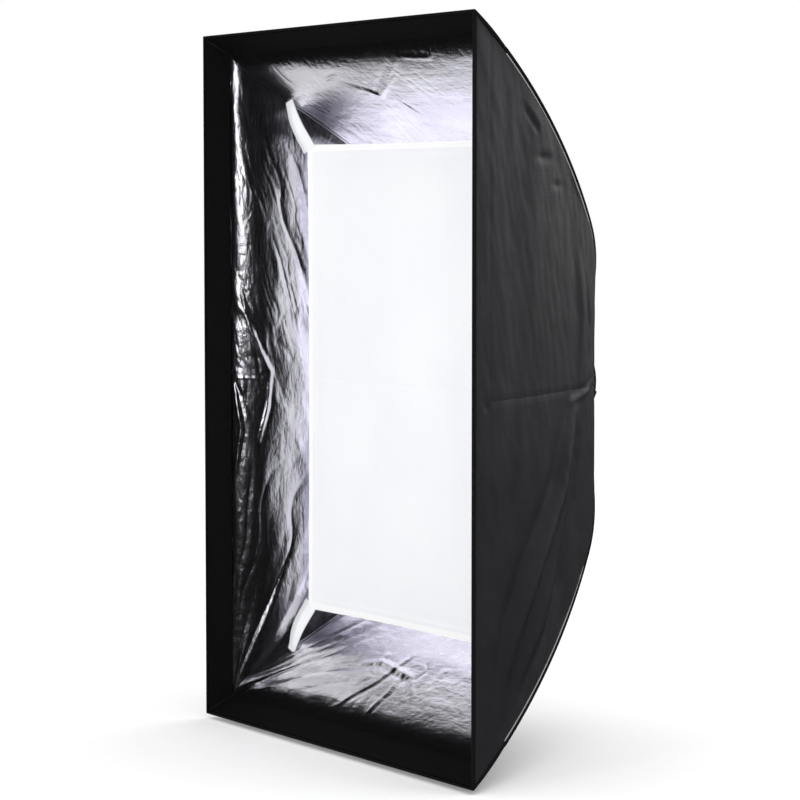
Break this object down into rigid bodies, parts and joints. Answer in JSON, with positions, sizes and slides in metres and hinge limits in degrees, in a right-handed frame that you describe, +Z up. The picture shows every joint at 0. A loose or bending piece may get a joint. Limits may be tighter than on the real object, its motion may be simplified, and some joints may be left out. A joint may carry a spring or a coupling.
{
  "type": "rectangular folding softbox",
  "caption": "Rectangular folding softbox: tapering black shell, silver lining, inner white diffuser, four hinged bowed rods on a rotating speedring.",
  "frame": {"origin": "centre of the bayonet insert's rear face, where the box seats on a light", "axes": "+Z up along the long side, -Y out of the open front, +X to the right seen from the front"},
  "size_m": [0.8, 0.5186, 1.2],
  "materials": {
    "shell_fabric": "black nylon shell fabric, satin",
    "silver_fabric": "metallised silver lining cloth, creased",
    "band_fabric": "black hook-and-loop band, matt",
    "white_fabric": "white translucent diffuser cloth",
    "black_alloy": "black anodised die-cast alloy",
    "bare_alloy": "machined alloy",
    "steel": "plated spring steel",
    "black_plastic": "matt black moulded plastic",
    "grey_plastic": "satin grey moulded plastic"
  },
  "bodies": {
    "light_insert": {"mount_ring": "bare_alloy"},
    "speedring": {"hub_ring": "black_alloy", "retaining_plate": "black_alloy", "plate_screw_1": "steel", "plate_screw_2": "steel", "plate_screw_3": "steel", "plate_screw_4": "steel", "hinge_bracket_top_left": "black_alloy", "hinge_bracket_top_right": "black_alloy", "hinge_bracket_bottom_left": "black_alloy", "hinge_bracket_bottom_right": "black_alloy", "hinge_pin_top_left": "steel", "hinge_pin_top_right": "steel", "hinge_pin_bottom_left": "steel", "hinge_pin_bottom_right": "steel", "button_spring_top_left": "steel", "button_spring_top_right": "steel", "button_spring_bottom_left": "steel", "button_spring_bottom_right": "steel", "panel_top": "shell_fabric", "panel_bottom": "shell_fabric", "panel_left": "shell_fabric", "panel_right": "shell_fabric", "lining_top": "silver_fabric", "lining_bottom": "silver_fabric", "lining_left": "silver_fabric", "lining_right": "silver_fabric", "lip_top": "band_fabric", "lip_bottom": "band_fabric", "lip_left": "band_fabric", "lip_right": "band_fabric", "baffle": "white_fabric", "baffle_strap_top_left": "white_fabric", "baffle_strap_top_right": "white_fabric", "baffle_strap_bottom_left": "white_fabric", "baffle_strap_bottom_right": "white_fabric", "rear_skirt": "shell_fabric"},
    "lock_knob": {"lock_knob": "black_plastic"},
    "rod_top_left": {"rod_socket_top_left": "bare_alloy", "rod_top_left": "steel", "rod_tip_cap_top_left": "black_plastic", "rod_sleeve_top_left": "shell_fabric"},
    "button_top_left": {"release_button_top_left": "grey_plastic"},
    "rod_top_right": {"rod_socket_top_right": "bare_alloy", "rod_top_right": "steel", "rod_tip_cap_top_right": "black_plastic", "rod_sleeve_top_right": "shell_fabric"},
    "button_top_right": {"release_button_top_right": "grey_plastic"},
    "rod_bottom_left": {"rod_socket_bottom_left": "bare_alloy", "rod_bottom_left": "steel", "rod_tip_cap_bottom_left": "black_plastic", "rod_sleeve_bottom_left": "shell_fabric"},
    "button_bottom_left": {"release_button_bottom_left": "grey_plastic"},
    "rod_bottom_right": {"rod_socket_bottom_right": "bare_alloy", "rod_bottom_right": "steel", "rod_tip_cap_bottom_right": "black_plastic", "rod_sleeve_bottom_right": "shell_fabric"},
    "button_bottom_right": {"release_button_bottom_right": "grey_plastic"}
  },
  "joints": [
    {"name": "box_turn", "type": "hinge", "parent": "light_insert", "child": "speedring", "pos_m": [0, 0, 0], "axis": [0, 1, 0], "continuous": true},
    {"name": "lock_turn", "type": "hinge", "parent": "speedring", "child": "lock_knob", "pos_m": [0, -0.019, 0.09], "axis": [0, 0, 1], "range_deg": [0, 180]},
    {"name": "rod_fold_top_left", "type": "hinge", "parent": "speedring", "child": "rod_top_left", "pos_m": [-0.05547, -0.04677, 0.08321], "axis": [0.8321, 0, 0.5547], "range_deg": [0, 51], "deforming": ["panel_top", "panel_left", "lining_top", "lining_left", "lip_top", "lip_left", "baffle", "baffle_strap_top_left", "rear_skirt"]},
    {"name": "button_push_top_left", "type": "slide", "parent": "speedring", "child": "button_top_left", "axis": [0, -1, 0], "range_m": [0, 0.003], "stiffness_N_per_m": 500, "deforming": ["button_spring_top_left"]},
    {"name": "rod_fold_top_right", "type": "hinge", "parent": "speedring", "child": "rod_top_right", "pos_m": [0.05547, -0.04677, 0.08321], "axis": [0.8321, 0, -0.5547], "range_deg": [0, 51], "deforming": ["panel_top", "panel_right", "lining_top", "lining_right", "lip_top", "lip_right", "baffle", "baffle_strap_top_right", "rear_skirt"]},
    {"name": "button_push_top_right", "type": "slide", "parent": "speedring", "child": "button_top_right", "axis": [0, -1, 0], "range_m": [0, 0.003], "stiffness_N_per_m": 500, "deforming": ["button_spring_top_right"]},
    {"name": "rod_fold_bottom_left", "type": "hinge", "parent": "speedring", "child": "rod_bottom_left", "pos_m": [-0.05547, -0.04677, -0.08321], "axis": [-0.8321, 0, 0.5547], "range_deg": [0, 51], "deforming": ["panel_bottom", "panel_left", "lining_bottom", "lining_left", "lip_bottom", "lip_left", "baffle", "baffle_strap_bottom_left", "rear_skirt"]},
    {"name": "button_push_bottom_left", "type": "slide", "parent": "speedring", "child": "button_bottom_left", "axis": [0, -1, 0], "range_m": [0, 0.003], "stiffness_N_per_m": 500, "deforming": ["button_spring_bottom_left"]},
    {"name": "rod_fold_bottom_right", "type": "hinge", "parent": "speedring", "child": "rod_bottom_right", "pos_m": [0.05547, -0.04677, -0.08321], "axis": [-0.8321, 0, -0.5547], "range_deg": [0, 51], "deforming": ["panel_bottom", "panel_right", "lining_bottom", "lining_right", "lip_bottom", "lip_right", "baffle", "baffle_strap_bottom_right", "rear_skirt"]},
    {"name": "button_push_bottom_right", "type": "slide", "parent": "speedring", "child": "button_bottom_right", "axis": [0, -1, 0], "range_m": [0, 0.003], "stiffness_N_per_m": 500, "deforming": ["button_spring_bottom_right"]}
  ]
}
